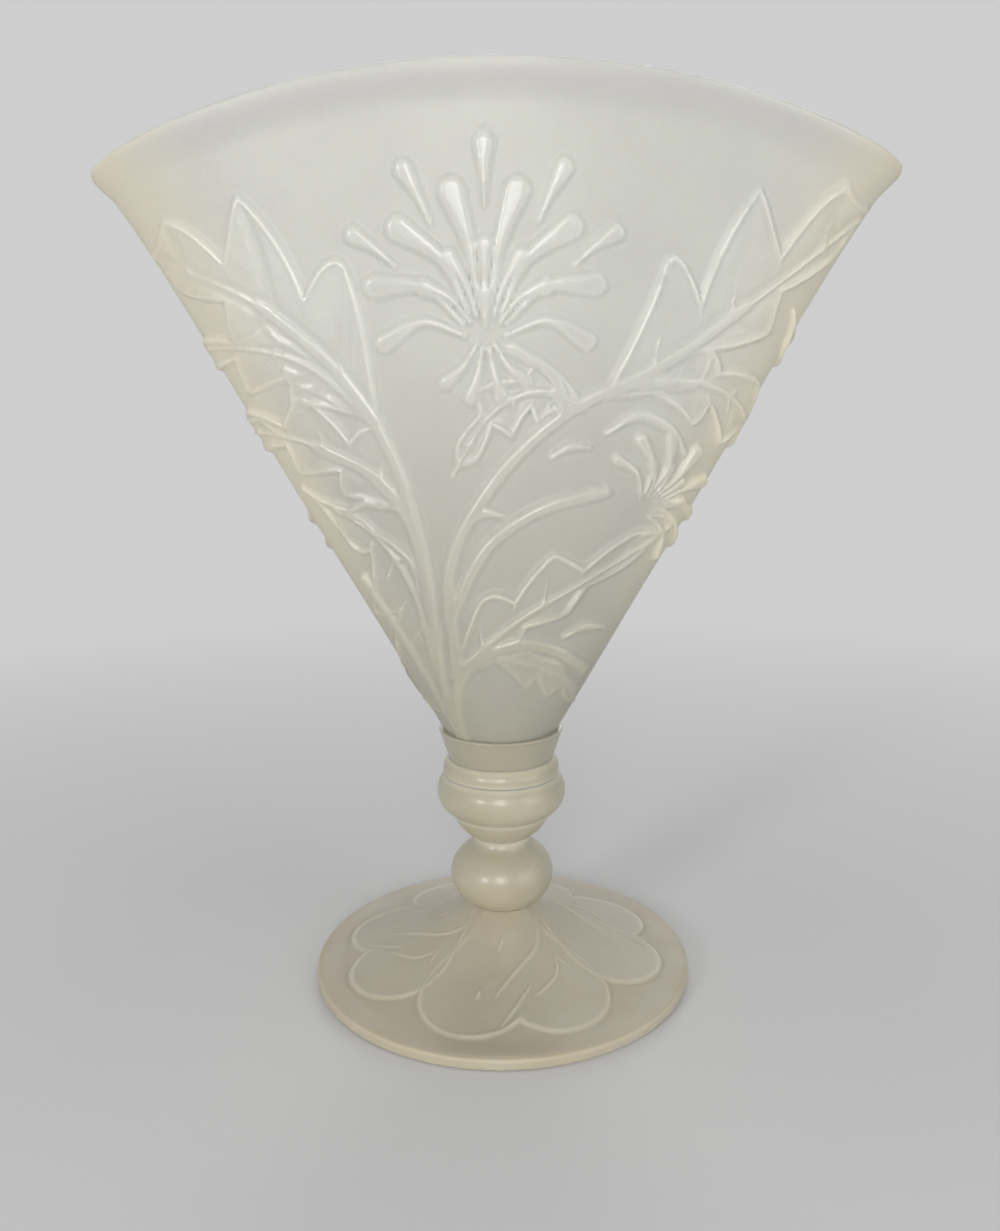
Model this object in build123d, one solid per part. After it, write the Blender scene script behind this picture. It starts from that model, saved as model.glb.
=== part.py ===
from build123d import *
import os
from math import acos, cos, degrees, pi, radians, sin, sqrt

# Footed fan vase of milky glass, worked hot: a blown cone flattened into a fan,
# on a stem of four solid gathers, on a spread foot. Each crease in the stem is a
# flat hot joint between two gathers. Acid has eaten the ground of the fan away
# between flowers and leaves, which stand in relief.
# Millimetres. The origin is the centre of the ring that the foot stands on, +Z is
# up, the broad faces of the fan look along -Y and +Y, and its width is along X.

# Foot: a disc drawn up to the stem in a trumpet curve, hollowed a little below.
foot_radius = 48.8
foot_height = 18.3
foot_edge_height = 2.9
foot_edge_round = 0.8
foot_top_slope = 0.8  # fall per unit of radius where the foot leaves the ball
foot_edge_slope = 0.12  # the same, where it reaches its edge
foot_ring_width = 4.5  # the flat ring that it stands on
foot_hollow_depth = 1.7
foot_hollow_slope = 0.15  # rise per unit of radius where the hollow leaves the ring
pontil_radius = 9.0  # the ground spot where the rod was broken away
pontil_depth = 0.7

# Ball knop: a flattened ball between the foot and the neck.
ball_radius = 13.35
ball_half_height = 10.0
ball_seat_radius = 8.5  # its joint with the foot
ball_top_radius = 9.0  # where the ball turns into the neck
neck_height = 2.9
neck_radius = 7.4  # its joint with the cup above, the narrowest place

# Cup knop: the small bowl-shaped gather above the neck.
cup_height = 6.6
cup_bulge = 0.8
cup_rim_radius = 12.75

# Broad knop: the widest gather of the stem.
broad_knop_height = 10.35
broad_knop_bulge = 2.8
broad_knop_top_radius = 14.6

# Collar bead: the narrow ring under the bowl.
bead_height = 4.4
bead_bulge = 0.8
bowl_seat_radius = 13.4

# Bowl: a collar band left at full thickness, then the fan.
bowl_height = 158.7  # from the bead to the crown of the mouth
band_height = 7.8
band_radius = 15.85
band_shoulder_round = 0.5
fan_throat_radius = 15.0
fan_half_width = 108.4  # half-width that the sides would reach level with the crown
fan_half_depth = 27.0  # half-depth there
fan_side_hollow = 3.8  # how far each side curves in from a straight taper
mouth_arc_radius = 265.0
mouth_corner_round = 2.6
mouth_corner_allowance = 0.2  # how far outside the fan the corner's side line runs
lip_round = 1.2
overrun = 3.0  # how far a cut runs past what it cuts

# Cavity of the bowl.
face_wall = 3.3
side_wall = 4.0
floor_rise = 3.4  # from the band to the bottom of the cavity
floor_round = 5.0

# Relief of the bowl.
ground_depth = 1.2  # how deep the acid has eaten the ground
throat_ground_depth = 0.5  # the same, where the fan starts
rim_band_height = 5.4  # glass left whole below the crown of the mouth
stem_half_width = 1.35

# Heights of the fan's sections, as shares of the way from the band to the crown. The
# last lies past the crown, so that the mouth is cut from whole glass.
section_shares = (0.0, 0.25, 0.5, 0.75, 0.9, 1.06)
# The shares between which the side line of the mouth's corner is drawn.
corner_shares = (0.8, 0.97)
depth_gain_power = 1.25  # above 1 the fan gains its depth late
side_hollow_power = 2.5  # above 1 the sides are hollowed in their upper part
# How full the oval is: the reach of its curve from each side and from each face, as
# shares of its half-depth and half-width. The first pair makes a circle.
throat_side_share, throat_face_share = 0.5523, 0.5523
mouth_side_share, mouth_face_share = 0.4, 0.5
round_limit_share = 0.48  # the most of a wall that one rounding may take

# The relief is drawn on a sheet that wraps each face of the fan. A place on it is the way
# round the oval from the middle of the face, to the right when seen from outside, and
# the height above the band, both as shares of the fan's height.
stem_shares = (
    ((-0.072, -0.02), (-0.100, 0.12), (-0.118, 0.29), (-0.160, 0.45), (-0.240, 0.58), (-0.360, 0.68)),
    ((-0.112, 0.22), (-0.132, 0.34), (-0.190, 0.425), (-0.290, 0.47)),
    ((-0.085, 0.02), (-0.150, 0.14), (-0.230, 0.26)),
    ((-0.070, 0.12), (-0.078, 0.28), (-0.020, 0.40), (0.075, 0.50), (0.190, 0.56), (0.300, 0.56)),
    ((0.180, 0.555), (0.270, 0.60), (0.380, 0.675)),
    ((-0.080, 0.20), (-0.020, 0.315), (0.065, 0.375), (0.165, 0.40)),
    ((-0.062, -0.02), (-0.076, 0.06), (-0.050, 0.125), (0.020, 0.162), (0.090, 0.15), (0.150, 0.11)),
    ((0.100, 0.52), (0.080, 0.575), (0.020, 0.615)),
)
# Leaves: four places on the midrib, then the reach of the lobes on its left and on its
# right, how deep the notches go into them, and how far the lobes lean to the tip.
leaf_shares = (
    (((-0.185, 0.51), (-0.290, 0.63), (-0.400, 0.70), (-0.560, 0.76)), 0.075, 0.135, 0.66, 0.8),
    (((-0.200, 0.52), (-0.290, 0.592), (-0.400, 0.62), (-0.560, 0.62)), 0.070, 0.030, 0.64, 0.9),
    (((-0.148, 0.375), (-0.225, 0.446), (-0.330, 0.484), (-0.480, 0.50)), 0.055, 0.070, 0.64, 0.8),
    (((-0.108, 0.13), (-0.140, 0.25), (-0.205, 0.34), (-0.330, 0.405)), 0.100, 0.022, 0.64, -0.75),
    (((-0.075, 0.11), (0.020, 0.195), (0.125, 0.255), (0.290, 0.34)), 0.066, 0.034, 0.60, 0.9),
    (((0.165, 0.545), (0.300, 0.62), (0.420, 0.70), (0.600, 0.82)), 0.140, 0.060, 0.66, 0.9),
    (((0.215, 0.562), (0.320, 0.562), (0.410, 0.515), (0.480, 0.42)), 0.052, 0.066, 0.60, 0.8),
    (((0.125, 0.53), (0.060, 0.552), (-0.010, 0.52), (-0.070, 0.43)), 0.046, 0.040, 0.60, 0.9),
    (((0.000, 0.137), (0.055, 0.128), (0.105, 0.10), (0.150, 0.05)), 0.018, 0.040, 0.60, 0.6),
)
lobe_count = 3  # on each side of a leaf
lobe_point_shares = (0, 0.25, 0.5, 0.75, 1)  # from notch to notch, the crown half-way
lobe_crown_power = 1.3  # above 1 the crown is round, at 1 it is a point
leaf_swell_power = 0.65  # below 1 a leaf is widest near its base
leaf_fullness_power = 0.8  # below 1 it stays wide towards its ends
# Blooms: the place of the heart, the turn clockwise from upright in degrees, the size and
# how many tiers of petals.
bloom_shares = (((-0.018, 0.635), 0, 1.0, 3), ((0.235, 0.375), 60, 0.6, 1))
# Petals of a bloom, tier by tier: how many, where each starts and how long it is at full
# size, the half-width of its head, and its bend.
petal_tier_shares = (
    (8, 0.040, 0.160, 0.0185, 0.20),
    (5, 0.030, 0.090, 0.0140, 0.15),
    (5, 0.175, 0.080, 0.0135, 0.05),
)
petal_pitch = 27  # degrees between neighbours in a tier
low_petal_loss_share = 0.9  # how much smaller a petal would be that hangs straight down
petal_tail_share = 0.18  # half-width of its narrow end, as a share of its head's
petal_waist_share = 0.45  # the same, half-way along it

# Heights of the joints, each on top of the last.
ball_centre_z = foot_height + ball_half_height * sqrt(1 - (ball_seat_radius / ball_radius) ** 2)
ball_top_z = ball_centre_z + ball_half_height * sqrt(1 - (ball_top_radius / ball_radius) ** 2)
neck_z = ball_top_z + neck_height
cup_top_z = neck_z + cup_height
broad_knop_top_z = cup_top_z + broad_knop_height
bowl_base_z = broad_knop_top_z + bead_height
throat_z = bowl_base_z + band_height
crown_z = bowl_base_z + bowl_height
fan_height = crown_z - throat_z


def turned(outline):
    """The solid that a closed outline, drawn in radius and height, sweeps round Z."""
    return revolve(Plane.XZ * make_face(outline), Axis.Z)


def turned_gather(*sides):
    """A round gather between two flat joints, from the curves of its side, drawn upwards."""
    low = sides[0] @ 0
    high = sides[-1] @ 1
    axis_low = Vector(0, low.Y)
    axis_high = Vector(0, high.Y)
    return turned([Line(axis_low, low), *sides, Line(high, axis_high), Line(axis_high, axis_low)])


def bulged_side(low_radius, low_z, high_radius, high_z, bulge):
    """One arc between two joints, standing out from their straight line by bulge."""
    low = Vector(low_radius, low_z)
    high = Vector(high_radius, high_z)
    along = (high - low).normalized()
    middle = (low + high) / 2 + Vector(along.Y, -along.X) * bulge
    return ThreePointArc(low, middle, high)


def make_foot():
    """The spread foot: trumpet curve above, standing ring, hollow and ground spot below."""
    seat = Vector(ball_seat_radius, foot_height)
    brim = Vector(foot_radius, foot_edge_height)
    tread_outer = Vector(foot_radius, 0)
    tread_inner = Vector(foot_radius - foot_ring_width, 0)
    hollow_centre = Vector(0, foot_hollow_depth)
    apex = Vector(0, foot_height)
    trumpet = Spline(seat, brim, tangents=[(1, -foot_top_slope), (1, -foot_edge_slope)])
    hollow = Spline(tread_inner, hollow_centre, tangents=[(-1, foot_hollow_slope), (-1, 0)])
    body = turned([
        Line(apex, seat),
        trumpet,
        Line(brim, tread_outer),
        Line(tread_outer, tread_inner),
        hollow,
        Line(hollow_centre, apex),
    ])
    outer_circles = body.edges().filter_by(GeomType.CIRCLE).group_by(Edge.length)[-1]
    body = fillet(outer_circles, min(foot_edge_round, foot_edge_height * round_limit_share))
    # The wheel that grinds off the rod's scar leaves a shallow dish.
    wheel_radius = (pontil_radius**2 + pontil_depth**2) / (2 * pontil_depth)
    wheel_z = foot_hollow_depth + pontil_depth - wheel_radius
    return body - Pos(0, 0, wheel_z) * Sphere(wheel_radius)


def make_ball_knop():
    """The flattened ball, an ellipse's side, and the short neck that it is drawn up into."""
    seat_angle = -degrees(acos(ball_seat_radius / ball_radius))
    top_angle = degrees(acos(ball_top_radius / ball_radius))
    side = EllipticalCenterArc(
        (0, ball_centre_z),
        ball_radius,
        ball_half_height,
        seat_angle,
        arc_size=top_angle - seat_angle,
    )
    neck = Spline(side @ 1, (neck_radius, neck_z), tangents=[side % 1, (0, 1)])
    return turned_gather(side, neck)


def make_cup_knop():
    """The cup above the neck, its side one arc that opens upwards."""
    side = bulged_side(neck_radius, neck_z, cup_rim_radius, cup_top_z, cup_bulge)
    return turned_gather(side)


def make_broad_knop():
    """The broad round gather in the middle of the stem."""
    side = bulged_side(
        cup_rim_radius,
        cup_top_z,
        broad_knop_top_radius,
        broad_knop_top_z,
        broad_knop_bulge,
    )
    return turned_gather(side)


def make_collar_bead():
    """The thin bead that the bowl sits on."""
    side = bulged_side(
        broad_knop_top_radius,
        broad_knop_top_z,
        bowl_seat_radius,
        bowl_base_z,
        bead_bulge,
    )
    return turned_gather(side)


def fan_z(share):
    """Height of a share of the way from the band to the crown."""
    return throat_z + fan_height * share


def fan_half_width_at(share):
    """Half-width there: a straight taper, hollowed in its upper part."""
    taper = fan_throat_radius + (fan_half_width - fan_throat_radius) * share
    return taper - fan_side_hollow * sin(pi * share**side_hollow_power)


def fan_half_depth_at(share):
    """Half-depth there."""
    return fan_throat_radius + (fan_half_depth - fan_throat_radius) * share**depth_gain_power


def oval_quarter(share, side_inset, face_inset, x_sign, y_sign):
    """A quarter of the fan's oval at a share of its height, from the side to the face, drawn
    in by the insets."""
    x = x_sign * (fan_half_width_at(share) - side_inset)
    y = y_sign * (fan_half_depth_at(share) - face_inset)
    side_share = throat_side_share + (mouth_side_share - throat_side_share) * share
    face_share = throat_face_share + (mouth_face_share - throat_face_share) * share
    return Bezier((x, 0), (x, y * side_share), (x * face_share, y), (0, y))


def fan_section(share, side_inset, face_inset):
    """The fan's oval at a share of its height, drawn in from its sides and its faces."""
    quarters = []
    for x_sign, y_sign in ((1, 1), (-1, 1), (-1, -1), (1, -1)):
        quarters.append(oval_quarter(share, side_inset, face_inset, x_sign, y_sign))
    return Pos(0, 0, fan_z(share)) * make_face(quarters)


def thinnest_wall_at(share):
    """The least distance between the fan's outer and inner ovals there."""
    outer = fan_section(share, 0, 0).wire()
    return outer.distance_to(fan_section(share, side_wall, face_wall).wire())


def mouth_profile():
    """The front outline that the mouth is cut to: a long arc with rounded corners.

    Below the corners its sides run outside the fan, so only the arc and the corners cut.
    """
    low, high = (
        Vector(fan_half_width_at(share) + mouth_corner_allowance, fan_z(share))
        for share in corner_shares
    )
    outline = Polyline(
        (-low.X, bowl_base_z),
        (low.X, bowl_base_z),
        (low.X, low.Y),
        (high.X, high.Y),
        (high.X, crown_z + overrun),
        (-high.X, crown_z + overrun),
        (-high.X, high.Y),
        (-low.X, low.Y),
        close=True,
    )
    profile = make_face(outline) & Pos(0, crown_z - mouth_arc_radius) * Circle(mouth_arc_radius)
    corners = profile.vertices().group_by(Axis.Y)[-1]
    return fillet(corners, mouth_corner_round)


def sheet_place(across_share, up_share):
    """Where a place of the relief's sheet shows in the front view. Past the side of the fan it
    runs straight on."""
    share = max(up_share, 0)
    quarter = oval_quarter(share, 0, 0, 1, 1)
    short_of_side = quarter.length - abs(across_share) * fan_height
    x = fan_half_width_at(share) - short_of_side
    if short_of_side > 0:
        x = quarter.position_at(short_of_side, position_mode=PositionMode.LENGTH).X
    return Vector(x if across_share > 0 else -x, fan_z(up_share))


def stem_outline(shares):
    """A stem: a ribbon of even width along a spline."""
    middle = Spline([sheet_place(*share) for share in shares])
    steps = 2 * (len(shares) - 1)
    sides = []
    for offset in (stem_half_width, -stem_half_width):
        points = []
        for step in range(steps + 1):
            along = middle % (step / steps)
            points.append(middle @ (step / steps) + Vector(-along.Y, along.X) * offset)
        sides.append(Spline(points))
    left, right = sides
    return make_face([left, Line(left @ 1, right @ 1), right, Line(right @ 0, left @ 0)])


def leaf_side(midrib, reach, notch, lean, side):
    """One side of a leaf, a spline a lobe, from the base to the tip."""
    lobes = []
    for lobe in range(lobe_count):
        points = []
        for point_share in lobe_point_shares:
            part = (lobe + point_share) / lobe_count
            swell = max(sin(pi * part**leaf_swell_power), 0) ** leaf_fullness_power
            cut = notch * abs(2 * point_share - 1) ** lobe_crown_power
            margin = stem_half_width * (1 - part) + reach * swell * (1 - cut)
            along = midrib % part
            outward = Vector(-along.Y, along.X) * side
            points.append(midrib @ part + (outward + along * lean) * margin)
        lobes.append(Spline(points))
    return lobes


def leaf_outline(midrib_shares, left_reach, right_reach, notch, lean):
    """A leaf: lobes on both sides of its midrib, which lean along it."""
    midrib = Spline([sheet_place(*share) for share in midrib_shares])
    left = leaf_side(midrib, left_reach * fan_height, notch, lean, 1)
    right = leaf_side(midrib, right_reach * fan_height, notch, lean, -1)
    return make_face([*left, *right, Line(left[0] @ 0, right[0] @ 0)])


def petal_outline(heart, angle, size, start, length, head, bend):
    """A petal: a teardrop whose two bent sides open from a narrow tail to a round head."""
    turn = radians(angle)
    along = Vector(sin(turn), cos(turn))
    right = Vector(along.Y, -along.X)
    radius = head * size
    tail = heart + along * start * size
    centre = tail + along * length * size
    sag = right * bend * length * size * sin(turn)
    waist = (tail + centre) / 2 - sag
    # A parabola through the tail, the waist and the head's centre ends in this direction.
    facing = (centre - tail + sag * 4).normalized()
    brow = Vector(facing.Y, -facing.X) * radius
    tail_side = right * radius * petal_tail_share
    waist_side = right * radius * petal_waist_share
    return make_face([
        ThreePointArc(tail - tail_side, waist - waist_side, centre - brow),
        ThreePointArc(centre - brow, centre + facing * radius, centre + brow),
        ThreePointArc(centre + brow, waist + waist_side, tail + tail_side),
        Line(tail + tail_side, tail - tail_side),
    ])


def bloom_outlines(heart_share, bloom_turn, bloom_size, tier_count):
    """The petals of one bloom."""
    outlines = []
    for count, *petal_shares in petal_tier_shares[:tier_count]:
        for petal in range(count):
            angle = petal_pitch * (petal - (count - 1) / 2)
            size = bloom_size * fan_height * (1 - low_petal_loss_share * (angle / 180) ** 2)
            *lengths, bend = petal_shares
            outlines.append(
                petal_outline(sheet_place(*heart_share), bloom_turn + angle, size, *lengths, bend)
            )
    return outlines


def ground_cuts():
    """What the acid eats away on the front and, with the same flowers, on the back: the skin
    of the fan from the band up to the rim band, less what stands in relief."""
    flowers = [stem_outline(shares) for shares in stem_shares]
    flowers += [leaf_outline(*shares) for shares in leaf_shares]
    for shares in bloom_shares:
        flowers += bloom_outlines(*shares)
    sheet = Rectangle(2 * (fan_half_width + overrun), fan_height, align=(Align.CENTER, Align.MIN))
    below_rim = Pos(0, crown_z - mouth_arc_radius) * Circle(mouth_arc_radius - rim_band_height)
    ground = (Pos(0, throat_z) * sheet & below_rim) - flowers[0].fuse(*flowers[1:])
    depths = [throat_ground_depth] + [ground_depth] * (len(section_shares) - 1)
    core = loft([fan_section(share, depth, depth) for share, depth in zip(section_shares, depths)])
    front = extrude(Plane.XZ * ground, fan_half_depth_at(section_shares[-1]) + overrun) - core
    return [front, Rot(0, 0, 180) * front]


def make_fan_bowl():
    """The collar band and the fan above it, hollowed to an even wall, open at the mouth and
    cut in relief."""
    seat = Vector(bowl_seat_radius, bowl_base_z)
    shoulder = Vector(band_radius, throat_z)
    band = turned_gather(Line(seat, shoulder))
    shoulder_circle = band.edges().filter_by(GeomType.CIRCLE).group_by(Edge.length)[-1]
    band = fillet(shoulder_circle, band_shoulder_round)

    blank = loft([fan_section(share, 0, 0) for share in section_shares])
    cut_reach = fan_half_depth_at(section_shares[-1]) + overrun
    fan = blank & extrude(Plane.XZ * mouth_profile(), cut_reach, both=True)

    cavity_shares = (floor_rise / fan_height, *section_shares[1:])
    cavity = loft([fan_section(share, side_wall, face_wall) for share in cavity_shares])
    floor_edges = cavity.edges().group_by(Axis.Z)[0]
    cavity = fillet(floor_edges, floor_round)

    bowl = band + fan - cavity
    mouth_edges = bowl.edges().filter_by(lambda edge: edge.center().Z > fan_z(corner_shares[0]))
    bowl = fillet(mouth_edges, min(lip_round, thinnest_wall_at(1) * round_limit_share))
    return bowl - ground_cuts()


pieces = {
    "foot": make_foot(),
    "ball_knop": make_ball_knop(),
    "cup_knop": make_cup_knop(),
    "broad_knop": make_broad_knop(),
    "collar_bead": make_collar_bead(),
    "fan_bowl": make_fan_bowl(),
}

os.makedirs("parts", exist_ok=True)
for name, piece in pieces.items():
    export_step(piece, f"parts/{name}.step")
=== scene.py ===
"""Footed fan vase of satin glass with an acid-cut flower relief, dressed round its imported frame.

Lengths are in metres. The relief is drawn on a flat sheet that wraps each face of the fan:
across is the way round the oval from the middle of the face, to the right when seen from
outside, and up is the height over the collar band, both as shares of the fan's height. The
foot's sheet is its own round top, in shares of its radius.
"""

import bpy
import numpy as np
from bpy.props import FloatProperty, FloatVectorProperty, IntProperty, PointerProperty
from bpy.types import Operator, Panel, PropertyGroup
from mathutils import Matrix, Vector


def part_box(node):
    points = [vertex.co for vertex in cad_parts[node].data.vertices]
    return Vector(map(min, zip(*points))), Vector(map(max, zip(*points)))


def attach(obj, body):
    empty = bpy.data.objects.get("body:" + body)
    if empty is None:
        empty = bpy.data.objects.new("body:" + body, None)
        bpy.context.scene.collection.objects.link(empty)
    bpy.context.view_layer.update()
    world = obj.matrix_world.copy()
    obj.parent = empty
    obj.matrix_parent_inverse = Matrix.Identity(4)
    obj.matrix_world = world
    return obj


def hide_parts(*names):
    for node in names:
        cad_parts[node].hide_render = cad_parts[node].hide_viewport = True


bl_info = {
    "name": "Fan Vase",
    "version": (1, 0, 0),
    "blender": (4, 5, 0),
    "location": "View3D > Sidebar > Fan Vase",
    "description": "Cuts and finishes a footed fan vase of satin glass",
    "category": "Add Mesh",
}

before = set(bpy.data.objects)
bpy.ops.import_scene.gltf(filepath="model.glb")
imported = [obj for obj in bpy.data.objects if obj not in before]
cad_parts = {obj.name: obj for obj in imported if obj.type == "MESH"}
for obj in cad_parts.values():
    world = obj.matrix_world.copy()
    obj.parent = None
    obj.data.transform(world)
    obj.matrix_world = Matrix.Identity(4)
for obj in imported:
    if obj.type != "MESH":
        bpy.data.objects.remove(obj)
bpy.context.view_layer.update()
bowl_low, bowl_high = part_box("fan_bowl")
_, foot_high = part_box("foot")
BODY = "root"
GATHERS = ("ball_knop", "cup_knop", "broad_knop", "collar_bead")
SATIN = "Etched Satin"
CREASE_ANGLE = np.radians(62.0)
# Painted glow: the most by which the colour of a cut slope or a stem joint is lightened in place of its
# shade.
MOST_PAINTED_GLOW = 0.4

# Layers of the etched skin: the name of its strength, scale and detail of the noise, and depth.
SATIN_LAYERS = (("Wave", 70.0, 2.0, 0.0012), ("Ripple", 420.0, 3.0, 0.0002), ("Grain", 2600.0, 2.0, 0.00009))

# Reliefs: a line is cut into this many runs, its field reaches this far beyond its edge, and
# shapes that meet are rounded into each other over this much.
LINE_RUNS = 24
FIELD_MARGIN = 0.03
JOIN_SOFTNESS = 0.006
TINY = 1e-4

# Heights of a relief, with reaches in widths of its cut edge: the hem inside a leaf's outline,
# the groove beside a rib on a leaf, and the crown of a rib.
HEM_SHARPNESS, HEM_PLACE = 3, 0.6
GROOVE_REACH, GROOVE_DEPTH = 1.7, 0.22
RIB_SHOULDER, RIB_CROWN_REACH = 0.92, 1.2

# Stems of the bowl's relief, rising from the collar band, and their half-width.
STEM_HALF_WIDTH = 0.009
BOWL_STEMS = (
    ((-0.072, -0.02), (-0.100, 0.12), (-0.118, 0.29), (-0.160, 0.45), (-0.240, 0.58), (-0.360, 0.68)),
    ((-0.112, 0.22), (-0.132, 0.34), (-0.190, 0.425), (-0.290, 0.47)),
    ((-0.085, 0.02), (-0.150, 0.14), (-0.230, 0.26)),
    ((-0.070, 0.12), (-0.078, 0.28), (-0.020, 0.40), (0.075, 0.50), (0.190, 0.56), (0.300, 0.56)),
    ((0.180, 0.555), (0.270, 0.60), (0.380, 0.675)),
    ((-0.080, 0.20), (-0.020, 0.315), (0.065, 0.375), (0.165, 0.40)),
    ((-0.062, -0.02), (-0.076, 0.06), (-0.050, 0.125), (0.020, 0.162), (0.090, 0.15), (0.150, 0.11)),
    ((0.100, 0.52), (0.080, 0.575), (0.020, 0.615)),
)

# Leaves of the bowl's relief: four places on the midrib, the reach of the lobes on its left
# and on its right, how deep the notches go into them, how far the lobes lean to the tip, and
# how high the flat of the leaf stands. Then what shapes all of them: their lobes and their swell,
# how nearest places on the midrib are averaged, and how it tapers.
BOWL_LEAVES = (
    (((-0.185, 0.51), (-0.290, 0.63), (-0.400, 0.70), (-0.560, 0.76)), 0.075, 0.135, 0.66, 0.8, 0.90),
    (((-0.200, 0.52), (-0.290, 0.592), (-0.400, 0.62), (-0.560, 0.62)), 0.070, 0.030, 0.64, 0.9, 0.70),
    (((-0.148, 0.375), (-0.225, 0.446), (-0.330, 0.484), (-0.480, 0.50)), 0.055, 0.070, 0.64, 0.8, 0.60),
    (((-0.108, 0.13), (-0.140, 0.25), (-0.205, 0.34), (-0.330, 0.405)), 0.100, 0.022, 0.64, -0.75, 0.45),
    (((-0.075, 0.11), (0.020, 0.195), (0.125, 0.255), (0.290, 0.34)), 0.066, 0.034, 0.60, 0.9, 0.45),
    (((0.165, 0.545), (0.300, 0.62), (0.420, 0.70), (0.600, 0.82)), 0.140, 0.060, 0.66, 0.9, 0.60),
    (((0.215, 0.562), (0.320, 0.562), (0.410, 0.515), (0.480, 0.42)), 0.052, 0.066, 0.60, 0.8, 0.60),
    (((0.125, 0.53), (0.060, 0.552), (-0.010, 0.52), (-0.070, 0.43)), 0.046, 0.040, 0.60, 0.9, 0.50),
    (((0.000, 0.137), (0.055, 0.128), (0.105, 0.10), (0.150, 0.05)), 0.018, 0.040, 0.60, 0.6, 0.80),
)
LEAF_LOBES = 3
LOBE_CROWN_POWER = 1.3
LEAF_SWELL_POWER = 0.65
LEAF_FULLNESS_POWER = 0.8
LEAST_STEEPNESS = 0.6
MIDRIB_BLEND, MIDRIB_START = 0.12, 0.004
MIDRIB_TAPER = (0.85, 0.3)
VEIN_HALF_WIDTH = 0.0045

# Blooms of the bowl's relief: the heart, the turn clockwise from upright in degrees, the size
# and how many tiers of petals.
BOWL_BLOOMS = (((-0.018, 0.635), 0, 1.0, 5), ((0.235, 0.375), 60, 0.6, 2))

# Petals of a bloom, tier by tier: how many, where each starts and how long it is at full
# size, the half-width of its head, and its bend. The last two tiers are the hanging sepals
# and the petal in the heart.
PETAL_TIERS = (
    (8, 0.040, 0.160, 0.0185, 0.20),
    (5, 0.030, 0.090, 0.0140, 0.15),
    (5, 0.175, 0.080, 0.0135, 0.05),
    (4, -0.020, -0.075, 0.0110, 0.10),
    (1, 0.010, 0.045, 0.0140, 0.0),
)
PETAL_PITCH = 27.0
LOW_PETAL_LOSS = 0.9
PETAL_WIDTHS = ((0.0, 0.18), (0.5, 0.45), (1.0, 1.0))
PETAL_SOFTNESS = 0.001

# Short cuts that fill the ground between the flowers, with the half-width at each place.
BOWL_ACCENTS = (
    ((-0.045, 0.360, 0.004), (-0.020, 0.372, 0.008), (0.006, 0.366, 0.003)),
    ((0.080, 0.455, 0.003), (0.108, 0.470, 0.007), (0.138, 0.468, 0.003)),
    ((0.165, 0.490, 0.003), (0.215, 0.515, 0.008), (0.268, 0.495, 0.007), (0.298, 0.455, 0.003)),
    ((0.105, 0.172, 0.003), (0.140, 0.185, 0.007), (0.180, 0.180, 0.003)),
    ((-0.245, 0.365, 0.003), (-0.215, 0.385, 0.007), (-0.180, 0.378, 0.003)),
)

# Zones of the cut fan from its crease with the band up: how many of the fan's columns make one
# of the zone's, the zone's top as a share of the way to the lip, and its rows.
BOWL_ZONES = ((4, 0.001, 1), (4, 0.13, 30), (2, 0.42, 65), (1, 0.91, 113), (2, 1, 11))

# Marks on the bowl's glass. Its sides are warmed from a share of the half-width out, and between
# two shares of the height. The rim's band, painted greyer as shade below the lip, comes and goes
# between distances from the outline.
MOST_SIDE, SIDE_START, SIDE_RISE = 0.75, 0.6, (0.05, 0.4)
MOST_RIM_SHADE, RIM_SHADE_START, RIM_SHADE_END = 0.8, (0.0008, 0.0022), (0.0045, 0.010)
# Low in the bowl the colour darkens up to this share of its height: the thick glass's tint, with painted
# shade.
THICK_SHADE_TOP_SHARE = 0.68

# The foot's leaves spread from the stem in a cross. Each has two round lobes, and veins in
# broken pairs; rows are places beside and along its axis, and the half-width there.
FOOT_LEAVES = 4
FOOT_LEAF_TURN = np.radians(-6.0)
FOOT_LEAF_STAND = 0.5
FOOT_LOBES = (
    ((0.02, 0.20, 0.10), (0.10, 0.38, 0.20), (0.20, 0.55, 0.285)),
    ((-0.02, 0.20, 0.10), (-0.10, 0.38, 0.20), (-0.20, 0.55, 0.285)),
)
FOOT_VEINS = (
    ((0.165, 0.15, 0.012), (0.160, 0.27, 0.012), (0.12, 0.36, 0.012), (0, 0.485, 0.011), (-0.1, 0.6, 0.006)),
    ((0.240, 0.37, 0.007), (0.225, 0.475, 0.011), (0.165, 0.55, 0.011), (0.10, 0.605, 0.006)),
    ((0.080, 0.55, 0.007), (0.0, 0.66, 0.011), (-0.10, 0.785, 0.006)),
    ((-0.170, 0.545, 0.006), (-0.180, 0.570, 0.012), (-0.195, 0.595, 0.006)),
    ((0.235, 0.365, 0.006), (0.270, 0.390, 0.009), (0.30, 0.41, 0.005)),
    ((-0.030, 0.290, 0.006), (-0.040, 0.320, 0.010), (-0.060, 0.350, 0.005)),
)

# Where the foot's cut starts and is full, as radii, and where it fades, as shares of the foot's.
FOOT_CUT_START, FOOT_CUT_FULL = 0.012, 0.0168
FOOT_FADE_START, FOOT_FADE_END = 0.86, 0.975


# Settings


def length_setting(name, description, default):
    """A length that a user may set."""
    return FloatProperty(name=name, description=description, default=default, unit="LENGTH")


def colour_setting(name, description, default):
    """A colour that a user may set."""
    return FloatVectorProperty(
        name=name, description=description, subtype="COLOR", size=3, min=0, max=1, default=default
    )


def angle_setting(name, description, default):
    """An angle that a user may set."""
    return FloatProperty(name=name, description=description, default=default, subtype="ANGLE")


def number_setting(name, description, default):
    """A plain number that a user may set."""
    return FloatProperty(name=name, description=description, default=default)


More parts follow.
